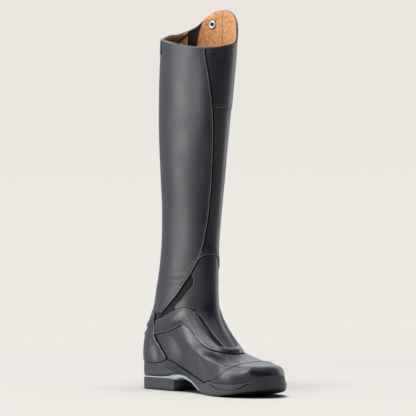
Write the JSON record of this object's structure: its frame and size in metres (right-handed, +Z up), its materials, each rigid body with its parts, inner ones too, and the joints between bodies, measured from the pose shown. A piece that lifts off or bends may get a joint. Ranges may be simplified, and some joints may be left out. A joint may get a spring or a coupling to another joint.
{
  "type": "tall riding boot",
  "caption": "Tall riding boot for the left foot: slim hollow leather shaft with a raised outer rim, ankle saddle, toe cap, heel counter with spur rests, cupped rubber sole and block heel.",
  "frame": {"origin": "middle of the bounding box's underside, on the floor that the boot stands on", "axes": "+X towards the toe, +Y towards the boot's outer side, +Z up the shaft"},
  "size_m": [0.2782, 0.1054, 0.5061],
  "materials": {
    "black_leather": "smooth satin",
    "counter_leather": "smooth polished",
    "sole_rubber": "moulded matte",
    "heel_rubber": "moulded matte",
    "arch_nylon": "satin",
    "insole_leather": "unpolished",
    "spur_rubber": "satin",
    "snap_metal": "polished"
  },
  "bodies": {
    "root": {"upper": "black_leather", "calf_panel": "black_leather", "ankle_saddle": "black_leather", "heel_counter": "counter_leather", "toe_cap": "counter_leather", "sole_unit": "sole_rubber", "heel_block": "heel_rubber", "arch_plate": "arch_nylon", "insole": "insole_leather", "spur_rest_upper": "spur_rubber", "spur_rest_lower": "spur_rubber", "snap_socket": "snap_metal"}
  },
  "joints": []
}
